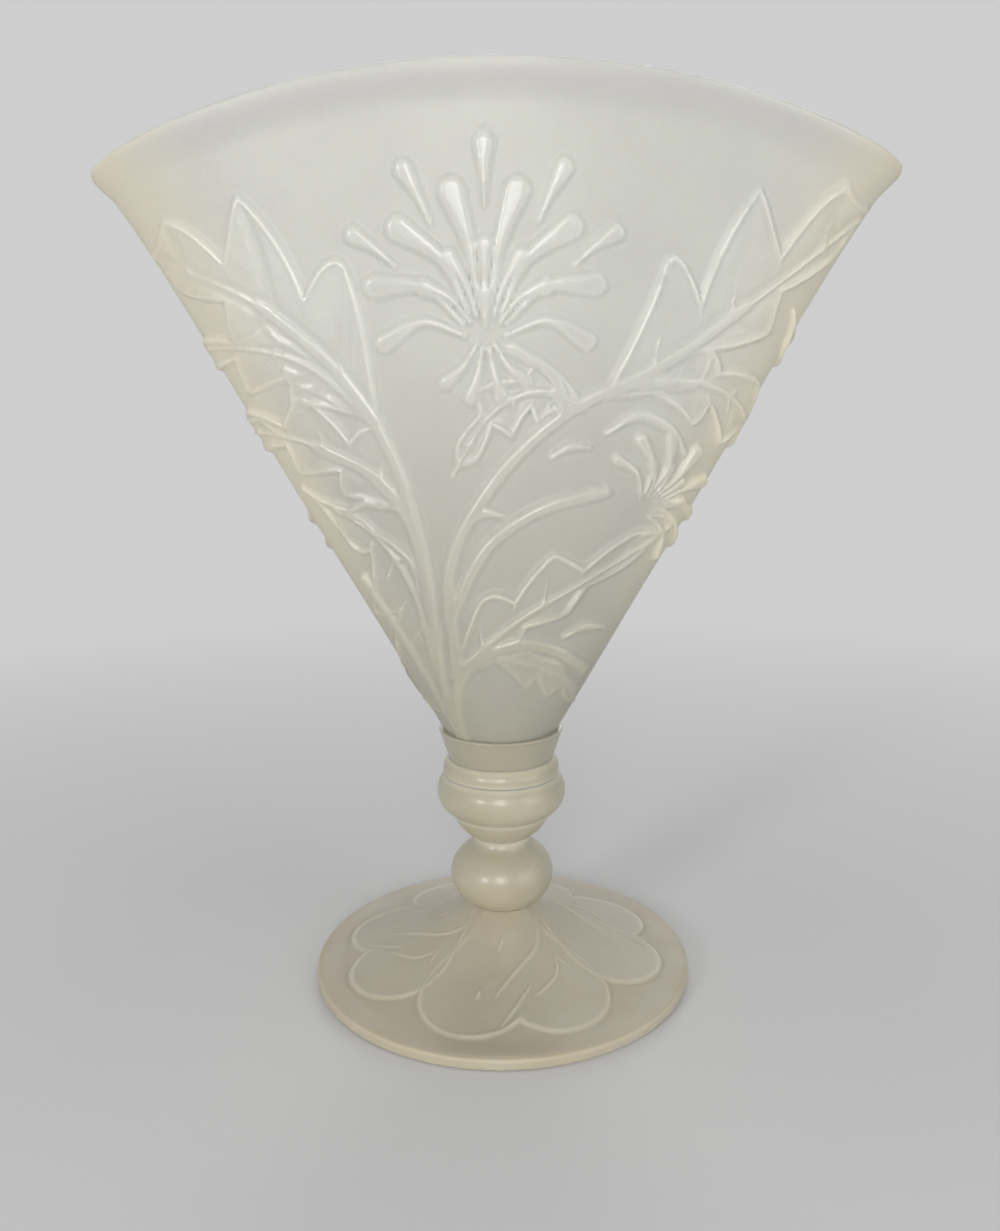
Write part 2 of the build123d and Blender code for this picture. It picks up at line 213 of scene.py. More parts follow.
class BowlSettings(PropertyGroup):
    """Sizes of the bowl and of its relief."""

    seat_radius: length_setting("Seat radius", "Joint with the bead below", 0.0134)
    band_radius: length_setting("Band radius", "Top of the collar band", 0.01585)
    band_height: length_setting("Band height", "Height of the collar band", 0.0078)
    band_round: length_setting("Band round", "Rounding of the band's shoulder", 0.0005)
    throat_radius: length_setting("Throat radius", "Where the fan starts", 0.015)
    half_width: length_setting("Half-width", "Reach of the sides level with the crown", 0.1084)
    half_depth: length_setting("Half-depth", "Reach of the faces there", 0.027)
    side_hollow: length_setting("Side hollow", "How far the sides curve in", 0.0038)
    arc_radius: length_setting("Mouth arc", "Radius of the mouth's arc", 0.265)
    corner_round: length_setting("Corner round", "Rounding of the mouth's corners", 0.0026)
    corner_allowance: length_setting("Corner allowance", "How far outside the fan its line runs", 0.0002)
    face_wall: length_setting("Face wall", "Wall through the faces", 0.0033)
    side_wall: length_setting("Side wall", "Wall through the sides", 0.004)
    lip_rise: length_setting("Lip rise", "Height of the rounded lip", 0.0012)
    floor_rise: length_setting("Floor rise", "Glass below the cavity", 0.0034)
    floor_round: length_setting("Floor round", "Rounding of the cavity's floor", 0.005)
    ground_depth: length_setting("Ground depth", "How deep the ground is eaten away", 0.0012)
    throat_ground: length_setting("Throat ground", "The same, at the throat", 0.0005)
    rim_band: length_setting("Rim band", "Glass left whole below the mouth's arc", 0.0054)
    rim_slope: length_setting("Rim slope", "Width of the fall from it to the ground", 0.0080)
    edge_width: length_setting("Edge width", "Width of a cut edge", 0.0013)
    columns: IntProperty(name="Columns", description="Columns round the fan", default=560, min=32, step=8)


class FootSettings(PropertyGroup):
    """Sizes of the foot and of its relief."""

    seat_radius: length_setting("Seat radius", "Joint with the ball above", 0.0085)
    edge_height: length_setting("Edge height", "Thickness at the edge", 0.0029)
    edge_round: length_setting("Edge round", "Rounding of the edge", 0.0008)
    top_slope: number_setting("Top slope", "Fall where the foot leaves the ball", 0.8)
    edge_slope: number_setting("Edge slope", "Fall at the edge", 0.12)
    ring_width: length_setting("Ring width", "Flat ring that the vase stands on", 0.0045)
    hollow_depth: length_setting("Hollow depth", "Hollow under the foot", 0.0017)
    hollow_slope: number_setting("Hollow slope", "Rise where the hollow leaves the ring", 0.15)
    spot_radius: length_setting("Ground spot", "Radius of the ground spot below", 0.009)
    spot_depth: length_setting("Spot depth", "Depth of that spot", 0.0007)
    ground_depth: length_setting("Ground depth", "How deep the ground is eaten away", 0.0006)
    edge_width: length_setting("Edge width", "Width of a cut edge", 0.0011)
    columns: IntProperty(name="Columns", description="Columns round the foot", default=520, min=16)


class GlassSettings(PropertyGroup):
    """Colours of the glass."""

    milk: colour_setting("Milk", "Ground of the bowl", (0.60, 0.604, 0.555))
    raised: colour_setting("Raised milk", "Raised flowers of the bowl", (0.645, 0.652, 0.605))
    # Deep milk: the thick glass's tint low in the bowl, darkened as painted shade.
    deep: colour_setting("Deep milk", "Thick glass low in the bowl", (0.385, 0.37, 0.295))
    warm: colour_setting("Warm edge", "Sides of the bowl", (0.70, 0.645, 0.50))
    # Painted shade: the greyer band below the lip. The bowl's clouds also mix towards this grey.
    rim: colour_setting("Rim", "Band of glass below the lip", (0.565, 0.555, 0.54))
    # Stem: the thick glass's warm tint, darkened as painted shade.
    stem: colour_setting("Stem", "Stem of the vase", (0.475, 0.432, 0.322))
    # Foot: the thick glass's warm tint, darkened as painted shade of light grazing its top.
    foot: colour_setting("Foot", "Foot of the vase", (0.50, 0.44, 0.33))
    pale: colour_setting("Pale clouds", "Paler clouds in the stem and the foot", (0.60, 0.58, 0.47))


class StageSettings(PropertyGroup):
    """Camera, floor and lamps."""

    camera_distance: length_setting("Camera distance", "In front of the vase's axis", 0.2601)
    camera_height: length_setting("Camera height", "Over the floor", 0.1447)
    camera_pitch: angle_setting("Camera pitch", "Fall of its view", np.radians(11.0))
    camera_roll: angle_setting("Camera roll", "Turn about its view", np.radians(-0.45))
    focal_share: number_setting("Focal share", "Focal length over the picture's height", 0.857)
    ambient: number_setting("Ambient", "Light from all round", 0.27)
    floor: colour_setting("Backdrop", "Backdrop and far floor", (0.62, 0.62, 0.62))
    floor_paint: colour_setting("Floor", "Floor under the lamps", (0.78, 0.78, 0.78))


# Grids


def eased(value, low, high):
    """0 below low, 1 above high, and between them the cubic 3t2 - 2t3."""
    part = np.clip((value - low) / (high - low), 0, 1)
    return part * part * (3 - 2 * part)


def between(start, end, part):
    """What lies a part of the way from start to end."""
    return start + (end - start) * part


def pole(z):
    """A ring of a single point, on the vase's axis."""
    return np.array([[0, 0, z]])


def ring_faces(low_start, low_count, high_start, high_count):
    """Faces between two closed rings of points: quads where they count alike, three triangles a
    cell where one has twice the points of the other, and a fan where one is a single point."""
    if low_count > high_count:
        return [face[::-1] for face in ring_faces(high_start, high_count, low_start, low_count)]
    here = np.arange(high_count if low_count == 1 else low_count)
    after = (here + 1) % len(here)
    if low_count == 1:
        cells = [(np.full(high_count, low_start), high_start + after, high_start + here)]
    elif low_count == high_count:
        cells = [(low_start + here, low_start + after, high_start + after, high_start + here)]
    else:
        first, last = high_start + 2 * here, high_start + 2 * after
        low, low_after = low_start + here, low_start + after
        cells = [(low, first + 1, first), (low, low_after, first + 1), (low_after, last, first + 1)]
    return [face for cell in cells for face in np.stack(cell, 1).tolist()]


def split_quads(faces, level):
    """Each quad cut in two along the diagonal whose ends differ less in level, so that a slanting
    edge of the relief isn't stepped."""
    quads = np.array([face for face in faces if len(face) == 4])
    first, second, third, last = quads.T
    even = np.abs(level[first] - level[third]) <= np.abs(level[second] - level[last])
    here = np.where(even[:, None], quads[:, (0, 1, 2)], quads[:, (0, 1, 3)])
    there = np.where(even[:, None], quads[:, (0, 2, 3)], quads[:, (1, 2, 3)])
    return [face for face in faces if len(face) == 3] + here.tolist() + there.tolist()


def stacked_faces(rings):
    """Faces of a stack of rings."""
    counts = [len(ring) for ring in rings]
    starts = np.concatenate([[0], np.cumsum(counts)[:-1]])
    faces = []
    for low in range(len(rings) - 1):
        faces += ring_faces(starts[low], counts[low], starts[low + 1], counts[low + 1])
    return faces


def new_object(name, data):
    """An object for some data, in the scene."""
    added = bpy.data.objects.new(name, data)
    bpy.context.scene.collection.objects.link(added)
    return added


def closed_piece(name, rings, marks, material):
    """A closed surface from a stack of rings whose first and last are single points. Marks are
    named values of its vertices."""
    mesh = bpy.data.meshes.new(name)
    faces = split_quads(stacked_faces(rings), marks["raised"])
    mesh.from_pydata(np.concatenate(rings).tolist(), [], faces)
    mesh.polygons.foreach_set("use_smooth", np.ones(len(mesh.polygons), bool))
    for mark, values in marks.items():
        attribute = mesh.attributes.new(mark, "FLOAT", "POINT")
        attribute.data.foreach_set("value", values.astype(np.float32))
    mesh.materials.append(material)
    mesh.set_sharp_from_angle(angle=CREASE_ANGLE)
    mesh.update()
    return new_object(name, mesh)


def filled(rings, value):
    """One value for every point of some rings."""
    return [np.full(len(ring), float(value)) for ring in rings]


def flat_ring(unit, radius, z):
    """A level ring of a radius, on the unit circle's points."""
    return np.column_stack([unit * radius, np.full(len(unit), z)])


# Drawing on a sheet


def smooth_run(rows, count):
    """Points of a Catmull-Rom curve through rows: each run is the cubic that meets its two ends
    and is sloped there along the chord between their neighbours."""
    rows = np.asarray(rows, float)
    padded = np.vstack([2 * rows[0] - rows[1], rows, 2 * rows[-1] - rows[-2]])
    place = np.linspace(0, len(rows) - 1, count)
    run = np.minimum(place.astype(int), len(rows) - 2)
    part = (place - run)[:, None]
    before, start, end, after = (padded[run + step] for step in range(4))
    square = (2 * before - 5 * start + 4 * end - after) * part**2
    cube = (3 * start - before - 3 * end + after) * part**3
    return (2 * start + (end - before) * part + square + cube) / 2


def soft_larger(first, second, softness):
    """The larger of two fields, rounded up by a parabola where they differ by under softness."""
    near = np.maximum(softness - np.abs(first - second), 0) / softness
    return np.maximum(first, second) + near**2 * softness / 4


def near_line(across, up, line, reach):
    """The points of a sheet that lie near a line. For each of them and each run of the line: the
    nearest place on the run, the way to it, and a value above 0 on the line's left."""
    low = line[:, :2].min(0) - reach
    high = line[:, :2].max(0) + reach
    near = np.flatnonzero((across > low[0]) & (across < high[0]) & (up > low[1]) & (up < high[1]))
    start = line[:-1]
    step = np.diff(line, axis=0)
    away_across = across[near, None] - start[:, 0]
    away_up = up[near, None] - start[:, 1]
    place = (away_across * step[:, 0] + away_up * step[:, 1]) / (step[:, 0] ** 2 + step[:, 1] ** 2)
    place = np.clip(place, 0, 1)
    off_across = away_across - place * step[:, 0]
    off_up = away_up - place * step[:, 1]
    side = step[:, 0] * off_up - step[:, 1] * off_across
    return near, place, np.hypot(off_across, off_up), side


def draw_stroke(field, across, up, rows, softness=JOIN_SOFTNESS):
    """Adds a tapered stroke to a field of distances inside what is drawn. Inside one run of its
    line that is the half-width at the nearest place less the way to it, and the largest counts."""
    line = smooth_run(rows, LINE_RUNS + 1)
    width = np.maximum(line[:, 2], 0)
    near, place, gap, _ = near_line(across, up, line, width.max() + FIELD_MARGIN)
    inside = (width[:-1] + place * np.diff(width) - gap).max(axis=1)
    field[near] = soft_larger(field[near], inside, softness)


def flat_height(inside, stand, edge):
    """Height of a leaf, from the distance inside its outline: it stands even, and where that is
    below full height a rounded hem, a bell curve, rises just inside the outline."""
    hem = np.exp(-HEM_SHARPNESS * (inside / edge - HEM_PLACE) ** 2)
    return eased(inside, -edge / 2, edge / 2) * between(stand, 1, hem)


def leaf_margin(along, reach, notch):
    """Half-width of a leaf at parts of the way along its midrib. A powered sine swells it, less
    its notches, and it starts as wide as a stem."""
    part = np.clip(along, 0, 1)
    swell = np.maximum(np.sin(np.pi * part**LEAF_SWELL_POWER), 0) ** LEAF_FULLNESS_POWER
    beat = np.abs(2 * np.mod(part * LEAF_LOBES, 1) - 1)
    return STEM_HALF_WIDTH * (1 - part) + reach * swell * (1 - notch * beat**LOBE_CROWN_POWER)


def draw_leaf(flats, ribs, across, up, leaf, edge):
    """Adds a leaf to the heights of the flats, and its veins to the field of the ribs.

    A point lies along the midrib at its nearest place, averaged over the runs that are about
    as near, and it belongs to the place from which the lobes' lean carries it. It is inside by
    the half-width there less its way to the midrib, over the slope of the margin. The side
    veins run where that place is half-way between two notches.
    """
    midrib, left, right, notch, lean, stand = leaf
    line = smooth_run(midrib, LINE_RUNS + 1)
    size = np.hypot(*np.diff(line, axis=0).T).sum()
    near, place, gap, side = near_line(across, up, line, max(left, right) + FIELD_MARGIN)
    away = gap.min(axis=1)
    weight = np.exp((away[:, None] - gap) / (MIDRIB_BLEND * (away[:, None] + MIDRIB_START)))
    along = (weight * (np.arange(LINE_RUNS) + place)).sum(axis=1) / weight.sum(axis=1) / LINE_RUNS
    nearest = np.arange(len(near)), gap.argmin(axis=1)
    reach = np.where(side[nearest] > 0, left, right)
    back = along - lean * away / size
    outside = (back < 0) | (along >= 1)

    margin = leaf_margin(back, reach, notch)
    rise = (leaf_margin(back + TINY, reach, notch) - margin) / TINY / size
    inside = (margin - away) / np.maximum(np.hypot(rise, 1 + rise * lean), LEAST_STEEPNESS)
    inside = np.where(outside, -away, inside)
    flats[near] = np.maximum(flats[near], flat_height(inside, stand, edge))

    lobe = back * LEAF_LOBES
    off_vein = np.abs(np.mod(lobe, 1) - 0.5) / LEAF_LOBES * size / np.hypot(1, lean)
    crown = leaf_margin((np.floor(lobe) + 0.5) / LEAF_LOBES, reach, notch)
    vein = VEIN_HALF_WIDTH - (VEIN_HALF_WIDTH + edge / 2) * away / np.maximum(crown, TINY) - off_vein
    vein = np.where(outside | (away > crown), -FIELD_MARGIN, vein)
    ribs[near] = soft_larger(ribs[near], vein, JOIN_SOFTNESS / 2)
    widths = STEM_HALF_WIDTH * np.linspace(*MIDRIB_TAPER, len(midrib))
    draw_stroke(ribs, across, up, [(*point, width) for point, width in zip(midrib, widths)])


def petal_rows(heart, turn, angle, size, start, length, head, bend):
    """A petal as a stroke: its line is a parabola, bent aside by the sine of its angle, and it
    widens from a narrow tail to its head."""
    way = np.radians(turn + angle)
    along = np.array([np.sin(way), np.cos(way)])
    aside = np.array([along[1], -along[0]]) * bend * length * np.sin(np.radians(angle))
    rows = []
    for part, width in PETAL_WIDTHS:
        point = heart + size * (along * (start + length * part) + aside * 4 * (part**2 - part))
        rows.append((*point, size * head * width))
    return rows


def draw_blooms(ribs, across, up):
    """Adds the petals of the blooms, smaller the lower they hang."""
    for heart, turn, bloom_size, tiers in BOWL_BLOOMS:
        for count, *shares in PETAL_TIERS[:tiers]:
            for petal in range(count):
                angle = PETAL_PITCH * (petal - (count - 1) / 2)
                size = bloom_size * (1 - LOW_PETAL_LOSS * (angle / 180) ** 2)
                rows = petal_rows(np.array(heart), turn, angle, size, *shares)
                draw_stroke(ribs, across, up, rows, PETAL_SOFTNESS)


def standing_height(flats, ribs, edge):
    """Share of the cut's depth that is left standing: the flats, with a shallow groove beside
    each rib, and the ribs and petals, which are crowned a little."""
    groove = eased(ribs, -GROOVE_REACH * edge, -edge / 2)
    crown = between(RIB_SHOULDER, 1, eased(ribs, 0, RIB_CROWN_REACH * edge))
    return np.maximum(flats * (1 - GROOVE_DEPTH * groove), eased(ribs, -edge / 2, edge / 2) * crown)


def bowl_sheet_height(across, up, edge):
    """Height of the bowl's relief on its sheet, 0 for the ground and 1 for the uncut glass."""
    flats = np.zeros(across.shape)
    ribs = np.full(across.shape, -FIELD_MARGIN)
    for leaf in BOWL_LEAVES:
        draw_leaf(flats, ribs, across, up, leaf, edge)
    for stem in BOWL_STEMS:
        draw_stroke(ribs, across, up, [(*point, STEM_HALF_WIDTH) for point in stem])
    for rows in BOWL_ACCENTS:
        draw_stroke(ribs, across, up, rows)
    draw_blooms(ribs, across, up)
    return standing_height(flats, ribs, edge)


# The fan

# How late the sides hollow and the depth is gained, and how far the oval's curve keeps on from
# the end of a quarter: for a circle, and at the crown from the side and from the face.
SIDE_HOLLOW_POWER = 2.5
DEPTH_POWER = 1.25
CIRCLE_PULL, SIDE_PULL, FACE_PULL = 0.5523, 0.4, 0.5


def fan_half_width(share, bowl):
    """Half-width at a share of the fan's height: a straight taper, hollowed above by a sine."""
    taper = between(bowl.throat_radius, bowl.half_width, share)
    return taper - bowl.side_hollow * np.sin(np.pi * share**SIDE_HOLLOW_POWER)


def fan_half_depth(share, bowl):
    """Half-depth there, gained late."""
    return between(bowl.throat_radius, bowl.half_depth, share**DEPTH_POWER)


def quarter_pulls(share):
    """How full the oval is at a share of the height: the reach of its curve from the side and
    from the face. Both start as a circle's."""
    return between(CIRCLE_PULL, SIDE_PULL, share), between(CIRCLE_PULL, FACE_PULL, share)


def quarter_place(share, part):
    """Place on the unit quarter of the oval, from the side at 0 to the face at 1: a cubic
    Bezier curve's x and y."""
    side_pull, face_pull = quarter_pulls(share)
    rest = 1 - part
    x = rest**3 + 3 * rest**2 * part + 3 * rest * part**2 * face_pull
    y = 3 * rest**2 * part * side_pull + 3 * rest * part**2 + part**3
    return x, y


def quarter_length(share, part, bowl):
    """Way round the oval from a place to the middle of the face, by Gauss's rule on the length of
    the Bezier curve's derivative."""
    side_pull, face_pull = quarter_pulls(share[..., None])
    nodes, weights = np.polynomial.legendre.leggauss(8)
    span = (1 - part)[..., None] / 2
    place = part[..., None] + span * (nodes + 1)
    rest = 1 - place
    slope_1 = 3 * rest**2 - 6 * rest * place
    slope_2 = 6 * rest * place - 3 * place**2
    x = -3 * rest**2 + slope_1 + slope_2 * face_pull
    y = slope_1 * side_pull + slope_2 + 3 * place**2
    width = fan_half_width(share, bowl)[..., None]
    depth = fan_half_depth(share, bowl)[..., None]
    return (np.hypot(x * width, y * depth) * weights).sum(-1) * span[..., 0]


def fold_turn(turn):
    """The part of its quarter and the signs of x and y, for a turn of 0 to 4 quarters."""
    quarter = np.floor(turn).astype(int) % 4
    part = turn - np.floor(turn)
    part = np.where(quarter % 2 == 0, part, 1 - part)
    return part, np.where((quarter == 0) | (quarter == 3), 1, -1), np.where(quarter < 2, 1, -1)


def even_parts(part, bowl):
    """Parts of a quarter spaced evenly round the oval in the upper fan."""
    upper_fan, places = 0.8, 400
    table = np.linspace(0, 1, places)
    way = quarter_length(np.full(places, upper_fan), table, bowl)
    return np.interp(part, 1 - way / way[0], table)


def throat_height(bowl):
    """Where the fan starts."""
    return bowl_low.z + bowl.band_height


def fan_height(bowl):
    """From there to the crown of the mouth."""
    return bowl_high.z - throat_height(bowl)


def fan_point(share, turn, bowl, side_inset=0.0, face_inset=0.0):
    """Point of the fan at a share of its height and a turn round its oval, drawn in from the
    sides and the faces by the insets."""
    part, x_sign, y_sign = fold_turn(turn)
    x, y = quarter_place(share, even_parts(part, bowl))
    width = fan_half_width(share, bowl) - side_inset
    depth = fan_half_depth(share, bowl) - face_inset
    z = throat_height(bowl) + fan_height(bowl) * share
    return np.stack([x * width * x_sign, y * depth * y_sign, z + 0 * x], -1)


def below_arc(x, z, bowl):
    """Distance inside the mouth's arc in the front view."""
    return bowl.arc_radius - np.hypot(x, z - bowl_high.z + bowl.arc_radius)


def mouth_gap(x, z, bowl):
    """Distance outside the mouth's front outline: an arc and a side line, each drawn in by the
    corner's radius, met by a quarter round of that radius."""
    low, high = 0.8, 0.97
    rise = (high - low) * fan_height(bowl)
    low_x, high_x = fan_half_width(low, bowl), fan_half_width(high, bowl)
    lean = np.hypot(high_x - low_x, rise)
    beside = np.abs(x) - low_x - bowl.corner_allowance
    above = z - throat_height(bowl) - low * fan_height(bowl)
    side = (beside * rise - above * (high_x - low_x)) / lean + bowl.corner_round
    arc = bowl.corner_round - below_arc(x, z, bowl)
    outer = np.hypot(np.maximum(side, 0), np.maximum(arc, 0))
    return outer + np.minimum(np.maximum(side, arc), 0) - bowl.corner_round


def mouth_share(turn, bowl, side_inset=0.0, face_inset=0.0):
    """Share of the height at which each column leaves the mouth's outline, by halving."""
    lowest, highest, halvings = 0.6, 1.05, 30
    low, high = np.full(turn.shape, lowest), np.full(turn.shape, highest)
    for _ in range(halvings):
        middle = (low + high) / 2
        point = fan_point(middle, turn, bowl, side_inset, face_inset)
        outside = mouth_gap(point[:, 0], point[:, 2], bowl) > 0
        low, high = np.where(outside, low, middle), np.where(outside, middle, high)
    return low


def fan_normal(share, turn, bowl):
    """Outward normal, from steps along the height and round the oval."""
    rise, swing = 1e-4, 1e-3
    up = fan_point(share + rise, turn, bowl) - fan_point(np.maximum(share - rise, 0), turn, bowl)
    around = fan_point(share, turn + swing, bowl) - fan_point(share, turn - swing, bowl)
    normal = np.cross(around, up)
    return normal / np.linalg.norm(normal, axis=-1, keepdims=True)


def bowl_relief(share, turn, bowl):
    """Height of the relief, 0 for the ground and 1 for the uncut glass.

    Each face is drawn alike. What is drawn past a side seam of one face lies on the other: such
    a point is looked up where it unrolls to, mirrored in the seam's slope.
    """
    part, x_sign, y_sign = fold_turn(turn)
    height = fan_height(bowl)
    edge = bowl.edge_width / height
    side = np.zeros(share.shape)
    way = quarter_length(share, even_parts(part, bowl), bowl) / height
    seam = quarter_length(share, side, bowl) / height
    rise = 0.01
    slope = np.arctan((quarter_length(share + rise, side, bowl) / height - seam) / rise)
    beyond = 2 * (seam - way) * np.cos(slope)
    here = bowl_sheet_height(-x_sign * y_sign * way, share, edge)
    past_across = x_sign * y_sign * (way + beyond * np.cos(slope))
    past = bowl_sheet_height(past_across, share - beyond * np.sin(slope), edge)
    return np.maximum(here, past)


def cut_fan(share, turn, bowl):
    """Points of the cut fan: each sinks along its normal by the depth of the cut where no flower
    stands. The cut starts below the uncut rim band and is shallow at the throat."""
    relief = bowl_relief(share.ravel(), turn.ravel(), bowl).reshape(share.shape)
    point = fan_point(share, turn, bowl)
    below = below_arc(point[..., 0], point[..., 2], bowl)
    throat_end = 0.25
    depth = between(bowl.throat_ground, bowl.ground_depth, eased(share, 0, throat_end))
    band_edge, half_slope = bowl.rim_band, bowl.rim_slope / 2
    sunk = depth * (1 - relief) * eased(below, band_edge - half_slope, band_edge + half_slope)
    cut = point - fan_normal(share, turn, bowl) * sunk[..., None]
    return cut, relief, painted_edge_glow(sunk, point)


def painted_edge_glow(sunk, point):
    """Painted glow of a cut slope: how much its colour is lightened in place of the shade that its
    tilt gives it, the secant of its tilt, less 1, evened with its neighbours. The tilt is the change
    of the cut's depth over the way, up and round."""
    up = np.gradient(sunk, axis=0) / np.linalg.norm(np.gradient(point, axis=0), axis=-1)
    before, after = np.roll(point, 1, axis=1), np.roll(point, -1, axis=1)
    way = np.linalg.norm(after - before, axis=-1)
    around = (np.roll(sunk, -1, axis=1) - np.roll(sunk, 1, axis=1)) / way
    glow = np.minimum(np.sqrt(1 + up**2 + around**2) - 1, MOST_PAINTED_GLOW)
    glow = (np.roll(glow, 1, axis=1) + 2 * glow + np.roll(glow, -1, axis=1)) / 4
    glow[1:-1] = (glow[:-2] + 2 * glow[1:-1] + glow[2:]) / 4
    return glow


def band_rings(turns, bowl):
    """The collar band, from the middle of its joint to its rounded shoulder."""
    unit = fan_point(np.zeros(turns.shape), turns, bowl)[:, :2] / bowl.throat_radius
    joint_shares, rows, first_turn, round_rows = (0.5, 0.98, 1), 7, 0.25, 5
    top = throat_height(bowl)
    rings = [pole(bowl_low.z)]
    rings += [flat_ring(unit, bowl.seat_radius * share, bowl_low.z) for share in joint_shares]
    for share in np.linspace(0, 1 - bowl.band_round / bowl.band_height, rows + 1)[1:]:
        radius = between(bowl.seat_radius, bowl.band_radius, share)
        rings.append(flat_ring(unit, radius, bowl_low.z + bowl.band_height * share))
    for turn in np.linspace(first_turn, np.pi / 2, round_rows):
        radius = bowl.band_radius - bowl.band_round * (1 - np.cos(turn))
        rings.append(flat_ring(unit, radius, top - bowl.band_round * (1 - np.sin(turn))))
    return rings


def lip_rings(turns, outer_rim, inner_rim, lip_share, insets, bowl):
    """The lip's half round, from the outer wall over to the inner one: a full ellipse, its
    corners a little squared by a power."""
    low_outer = fan_point(outer_rim - lip_share, turns, bowl)
    high_outer = fan_point(outer_rim, turns, bowl)
    low_inner = fan_point(inner_rim - lip_share, turns, bowl, *insets)
    high_inner = fan_point(inner_rim, turns, bowl, *insets)
    squared, rows = 0.8, 10
    rings = []
    for turn in np.linspace(0, np.pi, rows + 1)[1:]:
        over = 0.5 - np.sign(np.cos(turn)) * np.abs(np.cos(turn)) ** squared / 2
        low_edge = between(low_outer, low_inner, over)
        high_edge = between(high_outer, high_inner, over)
        rings.append(between(low_edge, high_edge, np.abs(np.sin(turn)) ** squared))
    return rings


def cavity_rings(turns, top_share, insets, bowl):
    """The inner wall from the lip down, the rounding of the floor and the floor to its middle."""
    height = fan_height(bowl)
    round_share = (bowl.floor_rise + bowl.floor_round) / height
    rows, round_rows = 23, 6
    rings = []
    for part in np.linspace(1, 0, rows + 1)[1:]:
        rings.append(fan_point(between(round_share, top_share, part), turns, bowl, *insets))
    waist = rings[-1][:, :2]
    floor_z = throat_height(bowl) + bowl.floor_rise
    reach = 1 - bowl.floor_round / (bowl.throat_radius - bowl.face_wall)
    for turn in np.linspace(0, np.pi / 2, round_rows + 1)[1:]:
        z = floor_z + bowl.floor_round * (1 - np.sin(turn))
        rings.append(flat_ring(waist, between(reach, 1, np.cos(turn)), z))
    return rings + [flat_ring(waist, reach / 2, floor_z), pole(floor_z)]


def bowl_rings(bowl):
    """The bowl's rings, from the middle of its joint, over the band, up the cut fan, over the lip
    and down the cavity to the middle of its floor, with the relief and the painted glow of each."""
    fine = np.arange(bowl.columns) * 4 / bowl.columns
    half, coarse = fine[::2], fine[::4]
    rim = mouth_share(fine, bowl)
    lip_share = bowl.lip_rise / fan_height(bowl)
    fan, reliefs, painted_glows, low = [], [], [], 0
    for step, top, rows in BOWL_ZONES:
        parts = np.linspace(low, top, rows + 1)
        parts = parts[1:] if low else parts
        share = parts[:, None] * (rim[::step] - lip_share)
        points, relief, glow = cut_fan(share, fine[::step] + 0 * share, bowl)
        fan += list(points)
        reliefs += list(relief)
        painted_glows += list(glow)
        low = top

    insets = (bowl.side_wall, bowl.face_wall)
    inner_rim = mouth_share(half, bowl, *insets)
    band = band_rings(coarse, bowl)
    lip = lip_rings(half, rim[::2], inner_rim, lip_share, insets, bowl)
    cavity = cavity_rings(coarse, inner_rim[::2] - lip_share, insets, bowl)
    reliefs = filled(band, 1) + reliefs + filled(lip, 1) + filled(cavity, 0)
    painted_glows = filled(band, 0) + painted_glows + filled(lip + cavity, 0)
    return band + fan + lip + cavity, np.concatenate(reliefs), np.concatenate(painted_glows)


def bowl_marks(points, bowl):
    """How far each point lies out to the sides, and in the band below the lip that is painted greyer as
    shade.
    """
    share = np.clip((points[:, 2] - throat_height(bowl)) / fan_height(bowl), 0, 1)
    beside = np.abs(points[:, 0]) / fan_half_width(share, bowl)
    below = -mouth_gap(points[:, 0], points[:, 2], bowl)
    side = MOST_SIDE * eased(beside, SIDE_START, 1) * eased(share, *SIDE_RISE)
    rim = MOST_RIM_SHADE * eased(below, *RIM_SHADE_START) * (1 - eased(below, *RIM_SHADE_END))
    return {"side": side, "rim": rim}


# The foot


def hermite(start, end, start_slope, end_slope, parts):
    """Cubic between two points in radius and height, with slopes as long as their chord."""
    start, end = np.array(start), np.array(end)
    chord = np.hypot(*(end - start))
    out = np.array(start_slope) / np.hypot(*start_slope) * chord
    arrive = np.array(end_slope) / np.hypot(*end_slope) * chord
    t = np.asarray(parts)[:, None]
    square, cube = t**2, t**3
    ends = (2 * cube - 3 * square + 1) * start + (3 * square - 2 * cube) * end
    return ends + (cube - 2 * square + t) * out + (cube - square) * arrive


def foot_relief(radius, around, foot):
    """Height of the foot's relief, 0 for the ground and 1 for the uncut glass: four leaves that
    spread from the stem, drawn alike."""
    size = foot_high.x
    edge = foot.edge_width / size
    flats = np.zeros(radius.shape)
    ribs = np.full(radius.shape, -FIELD_MARGIN)
    for leaf in range(FOOT_LEAVES):
        turned = around + FOOT_LEAF_TURN + 2 * np.pi * (0.25 - leaf / FOOT_LEAVES)
        beside, along = radius / size * np.sin(turned), radius / size * np.cos(turned)
        lobes = np.full(radius.shape, -FIELD_MARGIN)
        for rows in FOOT_LOBES:
            draw_stroke(lobes, beside, along, rows)
        flats = np.maximum(flats, flat_height(lobes, FOOT_LEAF_STAND, edge))
        for rows in FOOT_VEINS:
            draw_stroke(ribs, beside, along, rows)
    return standing_height(flats, ribs, edge)


